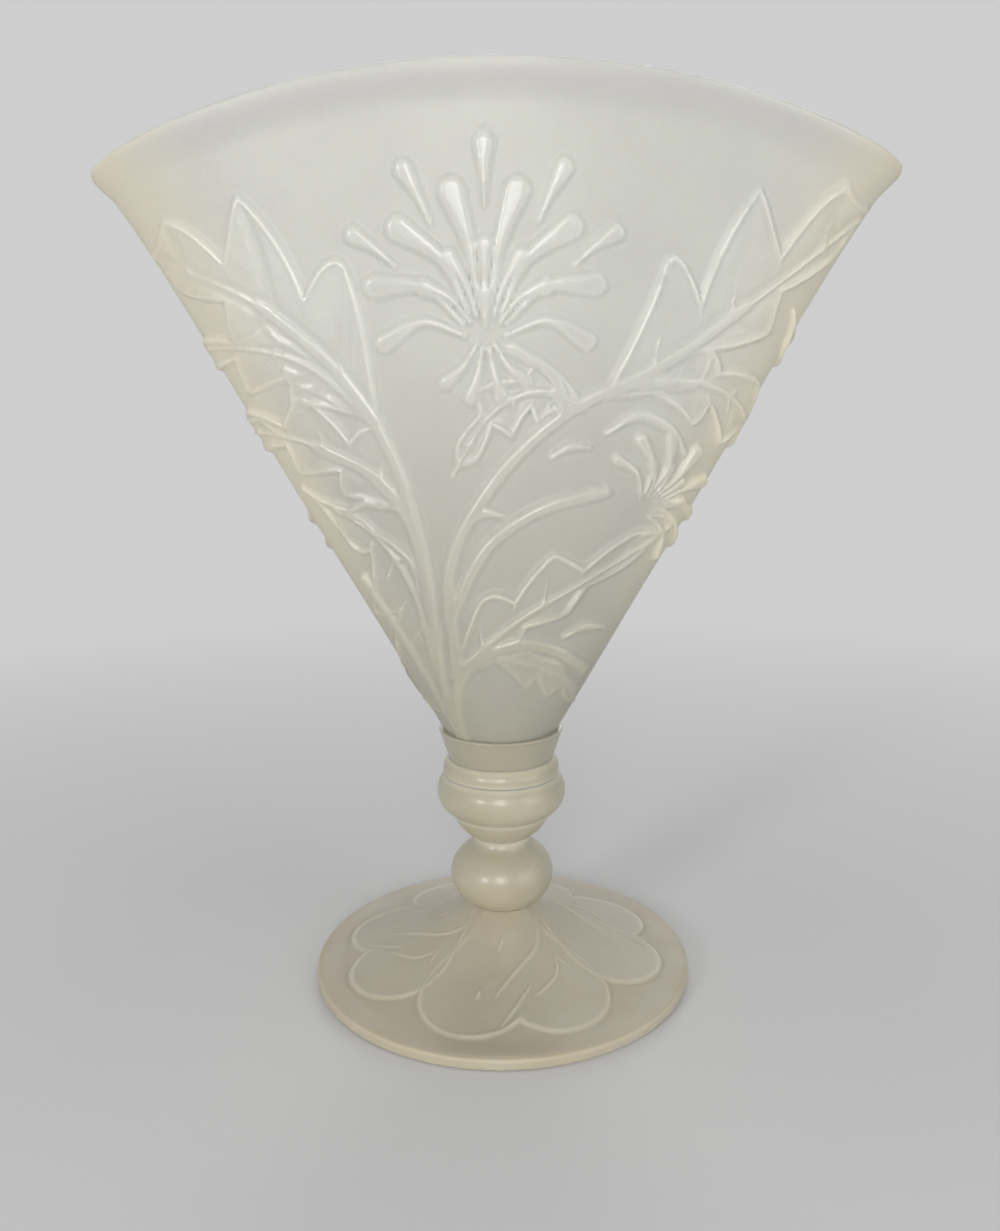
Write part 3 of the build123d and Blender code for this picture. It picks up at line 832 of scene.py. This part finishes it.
def foot_under_profile(foot):
    """Radius and height from near the middle of the underside to the top of the edge."""
    radius = foot_high.x
    tread = radius - foot.ring_width
    hollow_rows, low_rows, high_rows = 24, 5, 6
    parts = np.linspace(1, 0, hollow_rows)
    hollow = hermite((tread, 0), (0, foot.hollow_depth), (-1, foot.hollow_slope), (-1, 0), parts)
    wheel = (foot.spot_radius**2 + foot.spot_depth**2) / (2 * foot.spot_depth)
    spot = foot.hollow_depth + foot.spot_depth - wheel + np.sqrt(wheel**2 - hollow[:, 0] ** 2)
    ground = (hollow[:, 0] < foot.spot_radius) & (spot > hollow[:, 1])
    hollow[:, 1] = np.where(ground, spot, hollow[:, 1])
    low_turn = np.linspace(0, np.pi / 2, low_rows)
    low = np.column_stack([np.sin(low_turn), 1 - np.cos(low_turn)]) * foot.edge_round
    high_turn = np.linspace(0, np.pi / 2, high_rows)
    high = np.column_stack([np.cos(high_turn), np.sin(high_turn) - 1]) * foot.edge_round
    inner = radius - foot.edge_round
    return np.vstack([hollow, low + (inner, 0), high + (inner, foot.edge_height)])


def foot_rings(foot):
    """The foot's rings, from the middle of its underside over the edge to the middle of its joint
    with the ball, with the relief and the painted glow of each."""
    around = np.arange(foot.columns) * 2 * np.pi / foot.columns
    unit = np.column_stack([np.cos(around), np.sin(around)])
    radius = foot_high.x
    profile = foot_under_profile(foot)
    under = [pole(profile[0, 1])] + [flat_ring(unit, *place) for place in profile[1:]]
    joint = [pole(foot_high.z)]

    rows, clear_of_edge = 120, 1.3
    seat, brim = (foot.seat_radius, foot_high.z), (radius, foot.edge_height)
    parts = np.linspace(1, 0, rows)
    trumpet = hermite(seat, brim, (1, -foot.top_slope), (1, -foot.edge_slope), parts)
    trumpet = trumpet[trumpet[:, 0] < radius - foot.edge_round * clear_of_edge]
    slope = np.gradient(trumpet, axis=0)
    normal = np.column_stack([slope[:, 1], -slope[:, 0]])
    normal /= np.linalg.norm(normal, axis=1, keepdims=True)
    swung, out = np.meshgrid(around, trumpet[:, 0])
    relief = foot_relief(out.ravel(), swung.ravel(), foot).reshape(out.shape)
    fading = eased(out, radius * FOOT_FADE_START, radius * FOOT_FADE_END)
    depth = foot.ground_depth * eased(out, FOOT_CUT_START, FOOT_CUT_FULL) * (1 - fading)
    sunk = depth * (1 - relief)
    rings_radius = trumpet[:, :1] - normal[:, :1] * sunk
    rings_z = trumpet[:, 1:] - normal[:, 1:] * sunk
    points = np.stack([rings_radius * unit[:, 0], rings_radius * unit[:, 1], rings_z], -1)
    reliefs = filled(under, 0) + list(relief) + filled(joint, 0)
    painted_glows = filled(under, 0) + list(painted_edge_glow(sunk, points)) + filled(joint, 0)
    return under + list(points) + joint, np.concatenate(reliefs), np.concatenate(painted_glows)


# Materials


def fill_inputs(node, inputs):
    """Fills inputs by label or number: another node's output is linked, a value is set, and a
    colour gets its alpha of 1."""
    for label, value in inputs.items():
        socket = node.inputs[label]
        if isinstance(value, bpy.types.NodeSocket):
            node.id_data.links.new(value, socket)
        else:
            socket.default_value = (*value, 1) if socket.type == "RGBA" else value


def new_node(nodes, kind, inputs, **settings):
    """A shader node with its settings and its inputs filled."""
    node = nodes.new(kind)
    for key, value in settings.items():
        setattr(node, key, value)
    fill_inputs(node, inputs)
    return node


def new_material(name):
    """An empty material and its nodes."""
    material = bpy.data.materials.new(name)
    material.use_nodes = True
    return material, material.node_tree.nodes


def object_place(nodes):
    """Place on the vase, in metres."""
    return nodes.new("ShaderNodeTexCoord").outputs["Object"]


def calculated(nodes, operation, first, second):
    """Two values taken together by an operation."""
    return new_node(nodes, "ShaderNodeMath", {0: first, 1: second}, operation=operation).outputs["Value"]


def mixed(nodes, factor, first, second):
    """A colour mixed from first to second."""
    inputs = {"Factor": factor, "A": first, "B": second}
    return new_node(nodes, "ShaderNodeMix", inputs, data_type="RGBA").outputs["Result"]


def ranged(nodes, value, to_low, to_high, low=0, high=1):
    """A value carried from one range to another and kept within it."""
    inputs = {"Value": value, "From Min": low, "From Max": high, "To Min": to_low, "To Max": to_high}
    return new_node(nodes, "ShaderNodeMapRange", inputs).outputs["Result"]


def painted_light_scaled(nodes, colour, glow, most):
    """A colour scaled up by a painted glow, at most to a multiple: painted light in place of shade."""
    inputs = {0: colour, "Scale": ranged(nodes, glow, 1, most, high=MOST_PAINTED_GLOW)}
    return new_node(nodes, "ShaderNodeVectorMath", inputs, operation="SCALE").outputs["Vector"]


def value_mark(nodes, name):
    """The named value that each vertex of the piece carries."""
    return new_node(nodes, "ShaderNodeAttribute", {}, attribute_name=name).outputs["Fac"]


def noise(nodes, scale, detail):
    """Soft noise through the glass."""
    inputs = {"Vector": object_place(nodes), "Scale": scale, "Detail": detail}
    return new_node(nodes, "ShaderNodeTexNoise", inputs).outputs["Fac"]


def clouds(nodes, scale, detail, low, high, most):
    """Clouds in the glass: noise that rises to its most between two levels."""
    return ranged(nodes, noise(nodes, scale, detail), 0, most, low, high)


def height_share(nodes, low, high):
    """0 at a low height of the vase and 1 at a high one."""
    axes = new_node(nodes, "ShaderNodeSeparateXYZ", {"Vector": object_place(nodes)})
    return ranged(nodes, axes.outputs["Z"], 0, 1, low, high)


def satin_group():
    """Etched satin skin, a shader node group: slow waves of the blown glass, a finer ripple of the
    acid and a fine grain that sparkles, each with its strength, as one normal, and the grain as a
    value."""
    group = bpy.data.node_groups.new(SATIN, "ShaderNodeTree")
    for label, *_ in SATIN_LAYERS:
        group.interface.new_socket(label, in_out="INPUT", socket_type="NodeSocketFloat")
    group.interface.new_socket("Normal", in_out="OUTPUT", socket_type="NodeSocketVector")
    group.interface.new_socket("Grain", in_out="OUTPUT", socket_type="NodeSocketFloat")
    nodes = group.nodes
    strengths = nodes.new("NodeGroupInput").outputs
    outputs = {}
    for label, scale, detail, distance in SATIN_LAYERS:
        outputs["Grain"] = noise(nodes, scale, detail)
        inputs = {"Strength": strengths[label], "Distance": distance, "Height": outputs["Grain"]}
        if "Normal" in outputs:
            inputs["Normal"] = outputs["Normal"]
        outputs["Normal"] = new_node(nodes, "ShaderNodeBump", inputs).outputs["Normal"]
    fill_inputs(nodes.new("NodeGroupOutput"), outputs)


def glass_material(name, strengths, scatter, scatter_scale):
    """Milky glass with an etched skin: a Principled shader with scattering below its surface."""
    material, nodes = new_material(name)
    inputs = dict(zip(("Wave", "Ripple", "Grain"), strengths))
    skin = new_node(nodes, "ShaderNodeGroup", inputs, node_tree=bpy.data.node_groups[SATIN])
    shader = nodes["Principled BSDF"]
    fill_inputs(shader, {
        "IOR": 1.5,
        "Subsurface Weight": 1.0,
        "Subsurface Radius": scatter,
        "Subsurface Scale": scatter_scale,
        "Coat Roughness": 0.15,
        "Normal": skin.outputs["Normal"],
    })
    return material, nodes, shader, skin


def bowl_glass(glass):
    """The bowl's glass: milk white, darker low down for the thick glass's tint and a painted shade,
    paler where it stands raised, warm towards the sides and greyer in the band below the lip as a
    painted shade."""
    material, nodes, shader, _ = glass_material(
        "bowl_milk_glass", (0.25, 0.35, 0.5), (1.0, 0.9, 0.75), 0.0012
    )
    raised, rim = value_mark(nodes, "raised"), value_mark(nodes, "rim")
    colour = mixed(nodes, raised, glass.milk, glass.raised)
    colour = mixed(nodes, clouds(nodes, 55.0, 4.0, 0.38, 0.66, most=0.4), colour, glass.rim)
    # Painted shade: the band below the lip is greyed.
    colour = mixed(nodes, rim, colour, glass.rim)
    # Low in the bowl the colour darkens: the thick glass's tint, with painted shade.
    thick = mixed(nodes, ranged(nodes, raised, 0, 0.6), glass.deep, glass.stem)
    shade_top = between(bowl_low.z, bowl_high.z, THICK_SHADE_TOP_SHARE)
    colour = mixed(nodes, height_share(nodes, bowl_low.z, shade_top), thick, colour)
    colour = mixed(nodes, value_mark(nodes, "side"), colour, glass.warm)
    fill_inputs(shader, {
        # Painted light: the colour is lightened on the cut slopes, in place of their shade.
        "Base Color": painted_light_scaled(nodes, colour, value_mark(nodes, "glow"), most=1.17),
        "Roughness": ranged(nodes, raised, 0.42, 0.26),
        "Coat Weight": ranged(nodes, calculated(nodes, "MAXIMUM", raised, rim), 0, 0.22, low=0.5),
    })
    return material


def painted_joint_light(nodes):
    """Painted light along the joints of the stem: the colour is lightened in the creases, in place of the
    shade that falls there.
    """
    joints = [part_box(name)[0].z for name in (*GATHERS, "fan_bowl")]
    reach, high = 0.0013, bowl_high.z / 2
    ramp = new_node(nodes, "ShaderNodeValToRGB", {"Fac": height_share(nodes, 0, high)})
    stops = ramp.color_ramp.elements
    for end in (0, 1):
        stops[end].position, stops[end].color = end, (0, 0, 0, 1)
    for joint in joints:
        for step, light in ((-1, 0), (0, 1), (1, 0)):
            stops.new((joint + step * reach) / high).color = (light, light, light, 1)
    return ranged(nodes, ramp.outputs["Color"], 0, MOST_PAINTED_GLOW)


def stem_glass(name, glass, shade, cut):
    """The thicker glass of the stem and the foot, warmer and darker than the bowl's: the thick glass's tint,
    darkened as painted shade.
    """
    material, nodes, shader, skin = glass_material(name, (0.3, 0.2, 0.3), (1.0, 0.85, 0.6), 0.003)
    colour = mixed(nodes, clouds(nodes, 70.0, 3.0, 0.3, 0.75, most=0.5), shade, glass.pale)
    if cut:
        raised = value_mark(nodes, "raised")
        colour = mixed(nodes, ranged(nodes, raised, 0, 0.45), colour, glass.pale)
        # Painted light: the colour is lightened on the cut slopes, in place of their shade.
        colour = painted_light_scaled(nodes, colour, value_mark(nodes, "glow"), most=1.2)
        rough = ranged(nodes, raised, 0.50, 0.36)
    else:
        shader.inputs["Coat Weight"].default_value = 0.2
        # Painted light: the stem's colour is lightened in the creases at its joints.
        colour = painted_light_scaled(nodes, colour, painted_joint_light(nodes), most=1.4)
        rough = ranged(nodes, skin.outputs["Grain"], 0.30, 0.40, 0.3, 0.7)
    fill_inputs(shader, {"Base Color": colour, "Roughness": rough})
    return material


# The stage


def seen_rays(nodes):
    """1 for the rays of the camera and for those that gloss or clear glass sends on, else 0."""
    path = nodes.new("ShaderNodeLightPath")
    seen = path.outputs["Is Camera Ray"]
    for kind in ("Is Glossy Ray", "Is Transmission Ray"):
        seen = calculated(nodes, "MAXIMUM", seen, path.outputs[kind])
    return seen


def make_floor(stage):
    """A round floor just under the foot, which far away fades into the backdrop's colour."""
    corners, drop, radii = 96, -0.0002, (0.3, 1, 3, 9)
    turn = np.arange(corners) * 2 * np.pi / corners
    unit = np.column_stack([np.cos(turn), np.sin(turn)])
    rings = [pole(drop)] + [flat_ring(unit, radius, drop) for radius in radii]
    mesh = bpy.data.meshes.new("floor")
    mesh.from_pydata(np.concatenate(rings).tolist(), [], stacked_faces(rings))
    mesh.flip_normals()
    new_object("floor", mesh)
    material, nodes = new_material("pale_floor")
    shader = nodes["Principled BSDF"]
    fill_inputs(shader, {"Base Color": stage.floor_paint, "Roughness": 0.8, "Specular IOR Level": 0.2})
    away = new_node(nodes, "ShaderNodeVectorMath", {0: object_place(nodes)}, operation="LENGTH")
    far = ranged(nodes, away.outputs["Value"], 0, 1, low=0.1, high=0.5)
    glow = new_node(nodes, "ShaderNodeEmission", {"Color": stage.floor})
    share = calculated(nodes, "MULTIPLY", far, seen_rays(nodes))
    inputs = {"Fac": share, 1: shader.outputs["BSDF"], 2: glow.outputs["Emission"]}
    mix = new_node(nodes, "ShaderNodeMixShader", inputs)
    fill_inputs(nodes["Material Output"], {"Surface": mix.outputs["Shader"]})
    mesh.materials.append(material)


def make_world(stage):
    """The backdrop's colour where it is seen, and a soft light from all round."""
    world = bpy.data.worlds.new("studio")
    bpy.context.scene.world = world
    world.use_nodes = True
    nodes = world.node_tree.nodes
    ambient = nodes["Background"]
    fill_inputs(ambient, {"Color": (0.95, 0.97, 1.0), "Strength": stage.ambient})
    seen = new_node(nodes, "ShaderNodeBackground", {"Color": stage.floor})
    inputs = {"Fac": seen_rays(nodes), 1: ambient.outputs["Background"], 2: seen.outputs["Background"]}
    mix = new_node(nodes, "ShaderNodeMixShader", inputs)
    fill_inputs(nodes["World Output"], {"Surface": mix.outputs["Shader"]})


# Lamps: name, place, size, power and colour.
LAMPS = (
    ("key", (-0.62, -0.80, 0.28), 0.18, 2.5, (1.0, 0.99, 0.97)),
    ("front", (-0.04, -0.95, 0.30), 0.34, 3.4, (1.0, 0.99, 0.97)),
    ("fill", (0.85, -0.65, 0.26), 0.6, 2.3, (0.97, 0.98, 1.0)),
    ("back", (0.10, 0.95, 0.62), 0.8, 3.3, (1.0, 0.98, 0.95)),
    ("top", (0.0, 0.05, 1.1), 0.6, 0.5, (1.0, 1.0, 1.0)),
)


def make_lamps():
    """Square soft lamps, each aimed at the middle of the vase."""
    target = np.array([0, 0, bowl_high.z / 2])
    for name, place, size, power, colour in LAMPS:
        data = bpy.data.lights.new(name, "AREA")
        data.size = size
        data.energy = power
        data.color = colour
        lamp = new_object(name, data)
        back = np.array(place) - target
        lamp.location = place
        tilt = np.arctan2(np.hypot(back[0], back[1]), back[2])
        lamp.rotation_euler = (tilt, 0, np.arctan2(back[0], -back[1]))


def make_camera(stage):
    """A camera in front of the vase, which looks down a little."""
    data = bpy.data.cameras.new("camera")
    data.lens = data.sensor_width * stage.focal_share
    data.clip_start = 0.01
    camera = new_object("camera", data)
    camera.location = (0, -stage.camera_distance, stage.camera_height)
    camera.rotation_euler = (np.pi / 2 - stage.camera_pitch, 0, 0)
    camera.rotation_euler.rotate_axis("Z", stage.camera_roll)
    bpy.context.scene.camera = camera


# Operators


class VASE_OT_stage(Operator):
    """Set the floor, the lamps and the camera."""

    bl_idname = "vase.stage"
    bl_label = "Set stage"

    def execute(self, context):
        stage = context.scene.vase_stage
        context.scene.view_settings.view_transform = "Standard"
        make_floor(stage)
        make_world(stage)
        make_lamps()
        make_camera(stage)
        return {"FINISHED"}


class VASE_OT_bowl(Operator):
    """Cut the bowl's relief into the fan and give it its glass."""

    bl_idname = "vase.bowl"
    bl_label = "Cut bowl"

    def execute(self, context):
        bowl = context.scene.vase_bowl
        rings, reliefs, painted_glows = bowl_rings(bowl)
        marks = {"raised": reliefs, "glow": painted_glows, **bowl_marks(np.concatenate(rings), bowl)}
        piece = closed_piece("cut_fan_bowl", rings, marks, bowl_glass(context.scene.vase_glass))
        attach(piece, BODY)
        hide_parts("fan_bowl")
        return {"FINISHED"}


class VASE_OT_foot(Operator):
    """Cut the leaves into the foot and give it its glass."""

    bl_idname = "vase.foot"
    bl_label = "Cut foot"

    def execute(self, context):
        glass = context.scene.vase_glass
        rings, reliefs, painted_glows = foot_rings(context.scene.vase_foot)
        # The foot's colour is darkened as painted shade.
        material = stem_glass("foot_milk_glass", glass, glass.foot, cut=True)
        piece = closed_piece("cut_foot", rings, {"raised": reliefs, "glow": painted_glows}, material)
        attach(piece, BODY)
        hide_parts("foot")
        return {"FINISHED"}


class VASE_OT_stem(Operator):
    """Give the gathers of the stem their glass."""

    bl_idname = "vase.stem"
    bl_label = "Dress stem"

    def execute(self, context):
        glass = context.scene.vase_glass
        # The stem's colour is darkened as painted shade.
        material = stem_glass("stem_milk_glass", glass, glass.stem, cut=False)
        for name in GATHERS:
            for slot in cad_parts[name].material_slots:
                slot.material = material
        return {"FINISHED"}


class VASE_PT_panel(Panel):
    """The vase's steps and sizes."""

    bl_idname = "VASE_PT_panel"
    bl_label = "Fan Vase"
    bl_space_type = "VIEW_3D"
    bl_region_type = "UI"
    bl_category = "Fan Vase"

    def draw(self, context):
        for name in STEPS:
            self.layout.operator(f"vase.{name}")
        for name in GROUPS:
            group = getattr(context.scene, name)
            for key in group.bl_rna.properties.keys():
                if key not in ("rna_type", "name"):
                    self.layout.prop(group, key)


STEPS = ("stage", "bowl", "foot", "stem")
GROUPS = {
    "vase_bowl": BowlSettings,
    "vase_foot": FootSettings,
    "vase_glass": GlassSettings,
    "vase_stage": StageSettings,
}
CLASSES = (*GROUPS.values(), VASE_OT_stage, VASE_OT_bowl, VASE_OT_foot, VASE_OT_stem, VASE_PT_panel)


def register():
    """Registers the classes and hangs their settings on the scene."""
    for kind in CLASSES:
        bpy.utils.register_class(kind)
    for name, kind in GROUPS.items():
        setattr(bpy.types.Scene, name, PointerProperty(type=kind))


def unregister():
    """Undoes register."""
    for name in GROUPS:
        delattr(bpy.types.Scene, name)
    for kind in reversed(CLASSES):
        bpy.utils.unregister_class(kind)


def main():
    """Builds the vase and its stage."""
    register()
    satin_group()
    for name in STEPS:
        getattr(bpy.ops.vase, name)()


if __name__ == "__main__":
    main()
